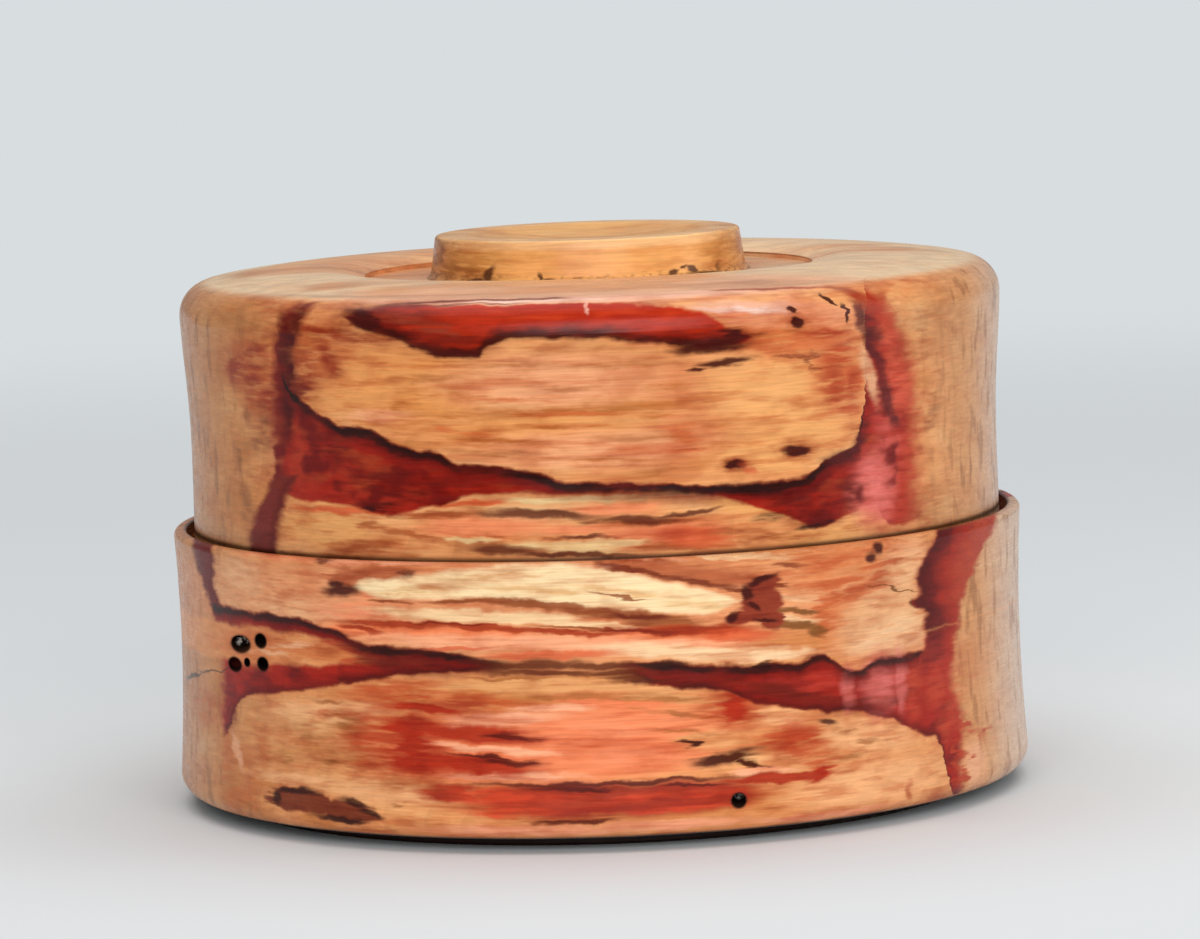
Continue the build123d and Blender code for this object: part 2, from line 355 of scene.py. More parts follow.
def base_upper_island(wood):
    """The ground between the flame and the rim, with a cream lens at its middle."""
    lens_top = wood.above(
        (-35, 36.9), (-33, 38), (-29, 38.6), (-22, 39.4), (-15, 40.2), (-9, 40.6), (-3, 40.2), (5, 38.7),
        (12, 36.8), (20, 34.2),
    )
    lens_foot = wood.above(
        (-35, 37.6), (-33, 36.4), (-29, 35.7), (-20, 36), (-12, 35.6), (-5, 34.9), (2, 34), (10, 33),
        (15, 32.7), (20, 34.6),
    )
    wood.strokes("#EC9A6C", (-14, 34, 50, 8.5), soft=0.3, strength=0.6)
    wood.strokes(
        "#F2B584", (-51, 36, 3.6, 4.6), (-43, 33.6, 8, 1.6), (43.5, 37, 3.4, 3.6), soft=0.6, fray=0.8
    )
    wood.strokes(
        "#F28C62", (-38, 40.8, 14, 0.6), (-30, 36.4, 5, 1.6), (-34, 33.8, 6, 1.4), soft=0.6, strength=0.8
    )
    wood.strokes(
        "#C8602E", (-47.2, 38.4, 0.8, 4), (-41, 37.5, 1.4, 4), (-44, 35.5, 1, 2),
        soft=0.8, strength=0.3, fray=0.3,
    )
    wood.strokes(
        "#B45A34", (-31.5, 39.2, 5, 1.3, 2), (-36, 38.5, 2, 2), (9, 39.4, 12, 1.1, -9),
        (17, 37.6, 7, 0.9, -9),
        soft=0.4,
    )
    wood.strokes("#F2A27A", (-26, 40.9, 8, 0.4), (-35, 40.9, 4, 0.5), (5, 41, 6, 0.3, -4))
    wood.strokes("#6B2A14", (-26.8, 39.1, 1.6, 0.5, 12), (-38.3, 40.7, 1.6, 0.6, 8))
    # The cream lens, with streaks in it and round it
    wood.stain("#FFDFAC", wood.inside(wood.opposite(lens_top), lens_foot, soft=0.5))
    wood.strokes(
        "#E2AA6C", (-24, 37.2, 5, 0.4, 3), (-5, 36.9, 13, 0.45, -4), (-27, 36.4, 4, 0.3),
        (4, 36.4, 8, 0.4, -9), (14, 34, 4, 0.6, -8), (-14, 39, 7, 0.3, 4),
        soft=0.7, strength=0.75,
    )
    wood.strokes(
        "#FBD09C", (-17, 33.4, 14.5, 0.9, -1.5), (-1, 32, 8, 0.5, -6), (19, 40.5, 8, 0.5, -5),
        soft=0.3, strength=1,
    )
    wood.strokes(
        "#9A5228", (-18, 35.5, 6, 0.35, 1), (-8, 34.9, 9, 0.6, -5), (2, 33.4, 7, 0.75, -8),
        (9, 31.9, 6, 0.8, -7), (-29, 35.2, 3, 0.3), (3.5, 35.8, 4, 0.25, -10), (-1, 31.4, 6, 0.25, -5),
        soft=0.4, strength=0.9,
    )
    wood.strokes(
        "#7A2E14", (5, 39.4, 7, 0.4, -11), (13, 37.4, 6, 0.45, -12), (5, 32.9, 4, 0.3, -8),
        (27, 38.6, 2.4, 0.4, -8), (18, 35.9, 3, 0.3, -12), (26, 35.9, 2, 0.35, -8),
        strength=0.9,
    )
    # Salmon stripes above the flame
    wood.strokes("#F5804E", (-22, 30.9, 15, 1, -2), (9, 30, 12, 1.1, -2), (-35, 31, 3, 0.8))
    wood.strokes(
        "#AA320A", (-28, 32.1, 8, 0.55, -1), (-15, 31.7, 9, 0.5, -4), (-5, 31, 8, 0.4, -4),
        (12, 30.6, 10, 0.7, -3), (-33, 31.2, 3, 0.4, -8),
        soft=0.45, strength=0.9,
    )
    wood.strokes("#8C2A10", (5, 30.8, 4.5, 0.35, -5), (-22, 32.3, 6, 0.2, -1))
    wood.strokes("#FFB084", (-12, 29.6, 19, 1, -1.5), (8, 28.6, 11, 1, -3), strength=0.9)
    wood.strokes("#FBD0A0", (14, 27.3, 15, 1, -5), (21, 26.3, 9, 0.8, -2), soft=0.4, strength=1)
    # Pale ground at the right
    wood.strokes("#EAB07E", (39.5, 28.6, 6.6, 4.6), (39.6, 32.4, 5, 4), (41.6, 35.6, 3, 3), fray=0.6)
    wood.strokes("#FBD6A6", (41.4, 27, 4, 2.4), (37, 26.6, 2.4, 1.2), soft=0.8, strength=0.6, fray=0.6)
    wood.strokes("#F6C492", (28, 33.8, 3, 0.4, -12), (27, 31, 3.4, 0.5, -12), soft=0.4, strength=0.9)
    wood.strokes(
        "#D9552E", (-7, 27.8, 9, 0.6, 1), (19, 29.4, 5, 0.8, -6), (-20, 28.9, 4, 0.3), strength=0.7
    )
    wood.strokes(
        "#D2703F", (32.5, 36.8, 6.5, 4.2), (38.5, 39.4, 5, 1.4), (32, 31, 1.8, 3.6), soft=0.7, fray=0.8
    )
    wood.strokes(
        "#C45C30", (35.6, 33.7, 4, 0.8, 14), (32.5, 35.3, 3, 0.7, 6), (39.3, 35.8, 2, 0.5, 10),
        (31.3, 32.6, 1, 2), (33, 38.6, 3, 0.6, 8), (31.6, 29.4, 1.4, 1.4), (40, 37.4, 3, 0.4, 6),
        strength=0.8,
    )
    wood.strokes(
        "#7E4A1C", (27.6, 32.2, 3.2, 0.45, -12), (27.4, 30, 3.2, 0.7, -10), (30.6, 28.9, 2, 0.8, -8),
        (41.4, 33.6, 3.2, 0.22, -16),
        soft=0.4, strength=0.9,
    )
    # Dark blotches and specks
    wood.strokes(
        "#923822", (22.8, 36.2, 2.5, 1.1, 6), (22.6, 33.8, 2.9, 2.9), (20.2, 31.9, 3.2, 1, 10),
        (23.9, 31.4, 1.8, 1.6), (21.6, 35, 2, 1.4),
        soft=0.2, strength=1, fray=0.8,
    )
    wood.strokes(
        "#450D05", (20.3, 35.4, 0.8, 1.2), (22.4, 36.9, 2.3, 0.4, 10), (18.4, 31.9, 1.3, 0.6, 30),
        (21.3, 33.2, 1.2, 0.4, -30), (23, 31.2, 1.6, 0.3, -10), (-36.2, 36.6, 2.5, 1, 4),
        (-37, 37.5, 1.2, 0.7), (38.1, 38.7, 0.8, 0.7), (39.3, 39.6, 0.8, 0.8, 40), (44.6, 31.2, 0.8, 0.6),
        strength=0.95, fray=0.2,
    )


def base_lower_island(wood):
    """The ground between the flame and the foot, with red stain that has run along the fibres."""
    wood.strokes("#DE9660", (-42, 14, 12, 7), (38, 9, 14, 6), soft=0.4, strength=0.5)
    wood.strokes(
        "#F2B27C", (36, 13.6, 6, 2.4, -10), (38, 6.4, 11, 3), (-39, 19, 9, 1.8, 6), (-44, 9.2, 7, 0.8),
        (25, 17.4, 3.4, 1.4, -22), (-30, 8.4, 9, 1.6, -3),
        strength=0.8,
    )
    wood.strokes(
        "#F27F50", (-1, 15.6, 17, 5.4), (-20, 14.8, 12, 4.4), (2, 21, 8, 1.4, -6), soft=0.35, strength=0.92
    )
    wood.strokes(
        "#FA9A6C", (0, 17.4, 12, 2.4), (2, 13.4, 12, 1.6), (-10, 10.8, 8, 1), soft=0.8, strength=0.6
    )
    wood.strokes("#E8A468", (-9, 23.6, 14, 1.1, -1), (10, 21.2, 9, 0.7, -7), (15, 15, 5, 1.4), soft=0.4)
    wood.strokes(
        "#A8622C", (-3, 22, 9, 0.5, -1), (6, 21.3, 7, 0.45, -5), (4, 24.1, 8, 0.5, -5),
        (11, 18.9, 7, 0.35, -9), (-12, 24.6, 7, 0.25), (12, 16.4, 5, 0.3, -6),
        soft=0.6, strength=0.8,
    )
    wood.strokes(
        "#FFB48A", (-14, 19, 7.5, 0.9, 3), (-16, 14.8, 10, 0.55, -4), (-14, 11, 9, 0.5),
        (21, 10.3, 4, 0.6, -4), (-7, 20.5, 5, 0.5),
        soft=0.4, strength=0.9,
    )
    # Scarlet that runs out along the fibres
    wood.strokes(
        "#C04A20", (-29, 22.2, 7, 2, 2), (-18, 21.6, 8, 1, -4), (18, 18.9, 5, 2.6, -14),
        (26.4, 13.8, 4.2, 2.4, -10), (30, 10, 2.6, 2.2), (-32, 15, 5, 4.5), (-37, 19, 4, 0.6),
        soft=0.6, strength=0.8,
    )
    wood.strokes(
        "#B43A1C", (-28, 15.4, 6.4, 5.6, 10), (-21, 20.4, 8, 1.4, -8), (-20, 12.4, 9, 2, -6),
        (18.4, 19.4, 3.4, 2.6), (26.6, 14.4, 4, 2.6),
        soft=0.8, strength=0.7,
    )
    wood.strokes(
        "#AE2408", (-27, 17.3, 3.2, 2), (-18, 17, 9.5, 1.2, -5), (-26, 13, 4.4, 1.9),
        (-18, 12.6, 9.5, 1.2, -5), (18, 19.2, 1.8, 2), (-25, 20.4, 5, 0.6, -6), (-26.6, 15, 2.2, 3),
        soft=0.4, strength=0.9,
    )
    # The red band near the foot
    wood.strokes(
        "#A8200A", (-5, 7.6, 16, 2.5), (9, 7.4, 13, 2.3), (24, 9, 9, 0.7, -1), (-22, 8.6, 5, 1.4),
        (30, 9, 2, 1),
        soft=0.35, strength=0.92,
    )
    wood.strokes(
        "#DE4A28", (-13, 7.8, 8, 0.8), (8, 7.6, 8, 0.5, 1), (-14, 6, 6, 0.5), (9, 5.8, 7, 0.4),
        (-17, 9, 4, 0.4),
        soft=0.6, strength=0.7,
    )
    wood.strokes(
        "#5A1206", (-12.4, 16.6, 3.4, 0.5, -6), (-13, 12.8, 4, 0.4, -5), (1, 9.8, 18, 0.35),
        (-4, 9.2, 6, 0.4, -2), (-5, 4.6, 6, 0.35), (12, 9, 4, 0.2, -2), (-16, 13.6, 5, 0.25, -6),
        strength=0.9,
    )
    wood.strokes("#F4A27C", (-10, 3.4, 14, 0.8), (8, 3.6, 10, 0.8), (30, 3, 9, 0.6))
    # Blotches and short dark streaks
    wood.strokes("#7A3018", (-43.5, 6.2, 4.2, 1.7), (-37, 5.3, 5.2, 1.5, -6), soft=0.2, strength=0.95)
    wood.strokes(
        "#330C04", (-43.5, 7.5, 3.4, 0.5, 2), (-35.2, 6.6, 2, 0.6, -8), (-46.7, 6.2, 0.6, 1.1),
        (-33, 5.4, 1.6, 0.5, -14), (31.4, 16.1, 1.4, 0.5, -16), (-37.5, 4.2, 4, 0.4, -4),
        strength=0.9, fray=0.2,
    )
    wood.strokes(
        "#521E04", (16.6, 12.4, 4.4, 0.8, 6), (20, 11.4, 2.6, 0.5, -14), (11.6, 14.8, 1, 0.6),
        soft=0.45, strength=1,
    )
    wood.strokes(
        "#A05C28", (-41, 15.6, 2, 0.6), (-45.5, 12, 1.4, 0.8), (-38.5, 12.2, 1.4, 0.4), (-36, 18, 2, 1.4),
        (-29.4, 6.6, 1, 0.3), (35.4, 10.9, 3, 0.4), (37, 12.6, 2, 0.4), (-38.6, 20.6, 2.4, 0.3),
        (33, 14.8, 2, 0.3, -14),
        soft=0.6, strength=0.75,
    )
    wood.strokes(
        "#B27A3C", (-41, 17, 5, 1.4), (-38, 13, 5, 1.2), (-45, 12.6, 3, 1), (-30, 9.4, 5, 0.8),
        soft=0.9, strength=0.35,
    )
    wood.strokes("#B4502C", (46.8, 3.2, 1.3, 0.9), (42.8, 4.4, 0.5, 1.6), soft=0.6, strength=0.7, fray=0.2)
    wood.strokes(
        "#C0602E", (-54, 10.5, 1.2, 4.6), (-50.5, 9.6, 2, 3.4), (-52.5, 5, 3, 2.6), (-57, 17, 2.4, 2.4),
        (-48.6, 13, 1, 3),
        soft=0.7, strength=0.65, fray=0.2,
    )
    wood.strokes("#F0B088", (-52.6, 12, 0.5, 2.6, 12), (53, 6, 1.6, 3.4), strength=0.7, fray=0.2)


def base_flame(wood):
    """The flame between two lines, its bars up both sides, and the tail that runs down on the right."""
    upper_line = wood.above(
        (-60, 32.4), (-52, 32.3), (-47.5, 32.4), (-43, 32.2), (-38, 31.1), (-34, 29.4), (-30, 28.9),
        (-24, 28.7), (-18, 27.5), (-9, 26.8), (0, 26.5), (8, 26.3), (15, 25.5), (25, 24.9), (27.5, 24.8),
        (30.4, 25.6), (34, 23.2), (36.4, 22.7), (38.6, 24.1), (45, 24), (60, 24),
    )
    lower_line = wood.above(
        (-56, 12), (-53.5, 15), (-51.5, 19.4), (-47.6, 20.8), (-40.5, 22.2), (-34.7, 23.6), (-27.6, 24.9),
        (-15, 25.5), (-6, 25.3), (3, 24.9), (8, 22.9), (15, 22.2), (22.5, 19.5), (30, 17.8), (36, 16.9),
        (40.4, 15.3), (45, 12.4), (47.2, 11.2), (48.2, 8.5), (49.4, 2),
    )
    left_edge = wood.right_of(
        (-54.4, 10), (-54.6, 16), (-54.4, 22), (-55.2, 27), (-55.6, 31), (-58, 38), (-58.6, 44)
    )
    left_bar_right = wood.right_of((-53, 31), (-54.2, 33), (-55.1, 36), (-55.3, 44))
    right_edge = wood.right_of(
        (50.6, 2), (50.8, 7), (51.2, 9.5), (51.2, 13.5), (50.2, 16.5), (49.9, 20), (50.4, 25.3), (52, 31),
        (55, 36.6), (57.3, 40), (59, 44),
    )
    right_bar = wood.right_of(
        (45, 22), (45.8, 26.2), (46, 29.5), (44.4, 31), (45.2, 32.6), (44.8, 35), (46.2, 37.4), (47.3, 39),
        (48, 40.4), (48.8, 44),
    )
    wedge_top = wood.above((-60, 30), (-46, 30.2), (-40, 29.6), (-35, 28.5), (-30.5, 26.9))
    wedge_foot = wood.above((-60, 24.6), (-50, 24.9), (-45, 25.2), (-38, 25.9), (-30.5, 27.1))
    # Crimson between the lines, but not where they nearly meet
    middle = wood.leaves((-6, 26, 11, 7), soft=0.3)
    across_flame = wood.inside(wood.opposite(upper_line), lower_line, soft=0.35)
    along_flame = wood.inside(left_edge, wood.opposite(right_edge), soft=0.9)
    flame = wood.overlap(across_flame, along_flame)
    flame = wood.overlap(flame, wood.outside(middle))
    wood.stain("#A61E0C", flame)
    mottle = wood.add("MapRange", wood.grain((6, 6, 3), seed=51.0), 0.5, 0.7, 0, 0.8)
    wood.stain("#78100A", wood.overlap(mottle, flame))
    wood.strokes("#B43A1C", (52.6, 11.6, 3, 0.9, -40), (50.6, 6, 0.8, 5), soft=0.6, strength=0.9)
    # The bars up both sides
    right_side = wood.inside(right_bar, wood.opposite(right_edge), wood.above((40, 22), (60, 22)), soft=0.7)
    wood.stain("#A2240F", right_side)
    wood.layers(
        right_bar,
        [
            (-0.4, "#8A2A18", 0.5), (0.2, "#4E0602", 1), (2.2, "#660C06", 1), (4.2, "#A0240E", 1),
            (7, "#B23C1E", 1),
        ],
        right_side,
    )
    above_flame = wood.above((-60, 31), (-50, 31))
    left_side = wood.inside(left_edge, wood.opposite(left_bar_right), above_flame, soft=0.5)
    wood.stain("#6E1006", left_side)
    wood.strokes("#B83A2C", (42, 20.6, 9, 5), (30, 21.6, 6, 2), soft=0.9, strength=0.6)
    wood.strokes("#761006", (-53.2, 19, 1, 4), soft=0.6, fray=0.3)
    # The tan wedge in the left end
    wood.stain("#E89A60", wood.inside(wood.opposite(wedge_top), wedge_foot, soft=0.5))
    wood.strokes("#CE6C36", (-39, 27.5, 9, 1.2, -2), (-50, 27.4, 5, 2.6), strength=0.75)
    wood.strokes("#C04422", (-36.4, 28.6, 5, 0.5, -12), (-34, 26.7, 3, 0.3, 10), soft=0.6)
    wood.strokes("#F2B486", (-47.5, 26.8, 2.6, 0.4), (-44, 28.2, 3, 0.4, 6), soft=0.6, strength=0.8)
    # The thin dark middle
    wood.strokes(
        "#6E180A", (-25.5, 26.8, 7.5, 1.9, -2), (12, 24, 9, 1.4, -9), (27, 20, 9, 1.3, -18),
        (37, 18, 6, 0.8, -4),
        soft=0.45, strength=0.9,
    )
    wood.strokes("#8A2E16", (-29, 27.4, 3, 0.9, -4), (-24, 26.6, 2, 0.5), soft=0.6, strength=0.7)
    wood.strokes(
        ZONE_LINE, (-18, 26.6, 5.5, 0.9, -2), (9, 25.9, 3.2, 0.5, -2), (22.6, 24.9, 1, 0.5), strength=0.9
    )
    wood.strokes(
        "#622608", (5, 24, 5, 0.45, -6), (-9, 26.5, 8, 0.7, 1), (-8, 25.4, 9, 0.5, -1),
        (1, 26.2, 7, 0.6, -3), (3, 25, 6, 0.5, -3),
        strength=0.9,
    )
    # Lighter red at the right, and a painted pink highlight on the crimson
    wood.strokes(
        "#C8502E", (47.6, 18.6, 1.6, 2.4), (49, 14, 1.2, 4, -20), (44, 19, 1, 4),
        soft=0.8, strength=0.5, fray=0.3,
    )
    # Painted pink highlight, where the finish mirrors a light
    wood.strokes(
        "#DE766E", (38.8, 20.4, 2.2, 4), (34.4, 20.4, 1, 3), (42, 20.6, 0.9, 4),
        soft=0.59, strength=0.75, fray=0.3,
    )
    # Dark outlines
    outlined = wood.inside(left_edge, wood.opposite(right_bar), soft=0.4)
    outlined = wood.overlap(outlined, wood.outside(middle))
    wood.layers(
        upper_line,
        [
            (-2.6, MAROON, 0), (-1.3, MAROON, 0.8), (-0.8, ZONE_LINE, 0.9), (-0.3, ZONE_LINE, 0.95),
            (0.35, BARK_BROWN, 0),
        ],
        outlined,
    )
    wood.layers(
        lower_line,
        [(-0.5, BARK_BROWN, 0), (0.15, ZONE_LINE, 0.7), (0.8, MAROON, 0.7), (2, CRIMSON, 0)],
        flame,
    )


def base_bores(wood):
    """Cover of the beetle bores. The ground in and round them is dark, and two hold a painted near-white
    glint.
    """
    bored = wood.leaves(
        (-51.4, 27.4, 1.6, 1.35, 15), (-48.3, 28.3, 0.95, 1.15), (-52.4, 24.3, 1.1, 1.15),
        (-50.5, 24.9, 0.5, 0.7), (-48.1, 25, 0.9, 1.1), (18.4, 6.4, 1.15, 1.15),
        soft=0.2, fray=0,
    )
    in_front = wood.add("MapRange", wood.y, -26, -30)
    bored = wood.overlap(bored, in_front)
    wood.stain("#1E0F08", bored)
    # A painted near-white glint in two of the bores, broken up by a fine grain
    painted_glints = wood.leaves((-51.3, 27.4, 0.95, 0.7, 20), (18.5, 6.4, 0.65, 0.6), soft=0.35, fray=0)
    glint_grain = wood.add("MapRange", wood.grain((0.5, 0.5, 0.5), seed=19.0), 0.42, 0.56)
    wood.stain("#FFF8EC", wood.overlap(painted_glints, in_front, glint_grain))
    return bored


def base_wood():
    """Flame box elder on the lower tier, with its stains where the real box has them."""
    wood = Board("base_box_elder")
    wood.lay_sapwood()
    base_upper_island(wood)
    base_lower_island(wood)
    base_flame(wood)
    # A hairline crack runs in from the left edge to the bores
    wood.strokes("#33190F", (-59.4, 20.8, 2, 0.22, 32), (-56, 22.6, 2.6, 0.13, 15), fray=0.2)
    wood.fade_with_depth()
    bored = base_bores(wood)
    # Painted shade: a dark band in the gap at the mouth of the rebate, and under the lowest edge
    near_rim = wood.add("MapRange", wood.z, RIM_HEIGHT - 3.3, RIM_HEIGHT - 0.6, 0.0, 0.85)
    painted_gap_shade = wood.overlap(wood.band(wood.radius, 58, 61, 0.3), near_rim)
    wood.stain("#4A2010", painted_gap_shade)
    painted_shade_under_edge = wood.add("MapRange", wood.z, BASE_EDGE_HEIGHT + 0.65, BASE_EDGE_HEIGHT + 0.1)
    wood.stain("#241008", painted_shade_under_edge)
    return wood.finish(bored=bored)


def lid_island(wood):
    """The great island on the wall."""
    wood.strokes("#EE9E58", (-27, 65, 13, 6), (-8, 58.4, 14, 3), strength=0.75)
    wood.strokes("#FAAE80", (-6, 65.6, 14, 3.6), (0, 56, 16, 2.6), (-30, 61, 5, 1), strength=0.7)
    wood.strokes("#E08A5A", (13, 58.6, 5, 4.2), (12, 64.6, 4, 3), soft=0.6, strength=0.75)
    wood.strokes(
        "#F0AA68", (26.4, 62, 9.4, 6), (24, 54, 9, 2.6), (30, 57, 5.4, 3.4), strength=0.9, fray=0.6
    )
    wood.strokes(
        "#BC6624", (-7, 61.4, 13, 0.8), (8, 62, 6, 0.6, -4), (-20, 63.9, 5, 0.25, -2), (10, 64.2, 3, 0.4),
        (-26.4, 63, 1.6, 1.6), (-12, 57.4, 8, 0.35, -5), (0, 54.6, 7, 0.3, -3), (-6, 59.4, 6, 0.3),
        (8, 60.4, 4, 0.3), (-19, 60.9, 3, 0.3),
        soft=0.9, strength=0.75,
    )
    wood.strokes(
        "#D0602E", (-11, 63.2, 6, 0.35, -2), (-21, 59, 2, 0.4, -6), (-16, 58.4, 3, 0.3, -4),
        (12, 57, 2.4, 2.4), (10, 55.6, 6, 0.4, -4), (-2, 61, 8, 0.3),
        soft=0.7, strength=0.7,
    )
    wood.strokes(
        "#A85C24", (8, 52.6, 2, 0.5), (5, 61.4, 6, 0.5, -3), (-4, 64.6, 5, 0.4), (2, 67.6, 8, 0.5),
        (-12, 68.2, 7, 0.4), (6, 57.2, 6, 0.5, -3), (-14, 55.8, 6, 0.4, -4), (-2, 70, 6, 0.4),
        (-22, 66.4, 6, 0.5, 3),
        soft=0.9, strength=0.6,
    )


def lid_skirt(wood):
    """The ground under the flame, down to the rim of the base."""
    wood.strokes("#F08A5C", (-16, 45.6, 9, 1.6), (3, 47.6, 6, 0.9), (9, 44, 8, 1.8), (-2, 45, 8, 0.6))
    wood.strokes(
        "#E8A462", (-38, 45, 6.4, 3), (33, 42, 7, 1.2), (22, 46.8, 6, 1.2, -10), (38, 43.6, 2, 0.8),
        soft=0.45, strength=0.9,
    )
    wood.strokes(
        "#F0CC90", (-4, 42.5, 7, 0.8, -3), (-2, 49.2, 12, 0.45), (2, 43, 5, 0.6), (-18, 43.8, 4, 0.3),
        soft=0.4, strength=0.9,
    )
    wood.strokes(
        "#AC5426", (-26, 44.4, 6, 0.4, -12), (-33, 42.4, 4, 1.2, 12), (-31, 45.5, 1.8, 0.6),
        (8, 45.6, 7, 0.45, 4), (10, 42.2, 7, 0.5, -6), (-22, 47.1, 6, 0.5, 4), (20, 43.6, 6, 0.4, -6),
        (-12, 44.2, 6, 0.25, -4), (25, 42.2, 6, 0.4),
        soft=0.6,
    )
    wood.strokes("#D85C32", (13.5, 43.2, 4.8, 1.4, -8), (-34, 47.4, 8, 0.5), (-17, 48.8, 5, 0.4, 5))
    wood.strokes(
        "#5E1E0A", (-8, 47.2, 8, 0.7, -4), (5, 46, 6, 0.6, -2), (-13.4, 42.4, 5, 0.9, -5),
        (-4, 41.4, 8, 0.4, -2), (-2, 43.9, 4, 0.3), (12, 46.6, 5, 0.4, 4),
        strength=0.9,
    )


def lid_surrounds(wood):
    """The ground beside the island, over the shoulder and on the top."""
    pale_arch = wood.above(
        (-46, 79), (-35, 80.5), (-22, 84), (-8, 86), (4, 85.6), (14, 83), (24, 80.5), (36, 78.4)
    )
    # Pale wood over the shoulder and on the top: partly the wood's own colour, partly a painted sheen
    crown = wood.add("MapRange", wood.radius, 58.4, 55.6)
    wood.smooth = wood.add("Math", wood.smooth, crown, operation="MAXIMUM")
    wood.stain("#FADAAE", wood.add("Math", crown, 0.85, operation="MULTIPLY"))
    front = wood.overlap(wood.band(wood.y, -70, -40, 4), wood.band(wood.x, -34, 40, 6), crown)
    wood.stain("#F0B48A", front)
    # Painted shade on the floor of the recess, and a painted dark line of shade at its lip
    on_top = wood.add("MapRange", wood.z, 75, 75.6)
    step = RECESS_RADIUS + 0.1
    wood.stain("#DCB086", wood.overlap(wood.band(wood.radius, 0, step, 0.12), on_top))
    lip = wood.band(wood.z, RECESS_LIP_HEIGHT - 0.2, RECESS_LIP_HEIGHT + 0.15, 0.1)
    wood.stain("#8E5C36", wood.overlap(wood.band(wood.radius, step - 0.45, step, 0.12), lip))
    # Rust beside the left-hand bar
    wood.strokes(
        "#BE5424", (-38.6, 70, 4.2, 4.6), (-47.6, 67, 4.6, 3.8), (-47, 62, 2.6, 3, -20),
        soft=0.8, strength=0.8, fray=0.5,
    )
    wood.strokes(
        "#962C10", (-50.6, 67, 1.8, 2.4), (-48, 65, 1.8, 1.6), (-47.6, 67.6, 1.6, 1.4),
        (-40.4, 65.6, 1.8, 3.4), (-46.3, 62.4, 1.8, 2.6), (-37, 69.5, 1.2, 2.6, 14),
        (-36.4, 72.4, 7, 0.5, -8), (-41.8, 73.6, 1, 2.6, -18), (-39.6, 76, 2, 0.6, 32), (-36, 67.6, 1, 1.4),
        (-47.4, 69.6, 2, 0.6, 20),
        soft=0.8, fray=0.4,
    )
    wood.strokes(
        "#B4784A", (-47.5, 58, 2.4, 3.4), (-49, 74, 6, 2), (48, 70, 5, 4), (47, 44, 3, 2.4),
        soft=0.8, strength=0.55,
    )
    wood.strokes(
        "#8E5230", (-49.4, 60.2, 0.8, 1), (-46.6, 58.8, 1, 1.2), (-48, 56, 1, 0.7), (-46, 56, 0.8, 1),
        (47.4, 55.6, 1, 0.8), (48.6, 57.4, 1, 0.8, 40), (-51, 54, 0.6, 2), (-50, 47, 0.7, 3),
        soft=0.7, strength=0.6, fray=0.2,
    )
    # Orange and red inside the right-hand bar
    wood.strokes(
        "#D8703E", (28.5, 70.2, 9.5, 2.8, -3), (34.6, 64.6, 3.8, 6, 6), soft=0.6, strength=0.9, fray=0.5
    )
    wood.strokes("#E8956A", (31, 73.4, 6, 1.8, -12), (23, 73, 5, 1.2, -8), (38.4, 72, 1.4, 2))
    wood.strokes(
        "#AE3A1A", (33.6, 63, 2, 3.2, 5), (35.4, 60.4, 2.6, 1.4, -30), (32.6, 70.4, 3.4, 0.7, -5),
        (34.8, 67, 2.6, 2), (36.6, 63, 1.2, 2.4),
        soft=0.8, strength=0.8, fray=0.4,
    )
    wood.strokes(
        "#84341A", (28.4, 67.5, 3, 0.3, -2), (22, 70.8, 3, 0.4), (30.4, 66.6, 0.5, 1.4), (21, 67.8, 2, 0.3),
        soft=0.6, strength=0.75,
    )
    # Painted highlights along the shoulder: a pale pink band over the crest and a near-white streak at the
    # right
    wood.strokes("#EFB49A", (-2, 77.9, 30, 1.6), (22, 74.6, 7, 0.9, -4), strength=0.75)
    wood.strokes("#F7D6C6", (21, 74.4, 5.6, 0.4, -5), (-12, 77.6, 14, 0.4, 1), soft=0.6, strength=0.7)
    wood.layers(
        pale_arch,
        [(-3, "#B07A5A", 0), (0, "#A87050", 0.5), (2.6, "#B07A5A", 0)],
        wood.overlap(crown, wood.band(wood.across, -46, 36, 6)),
    )


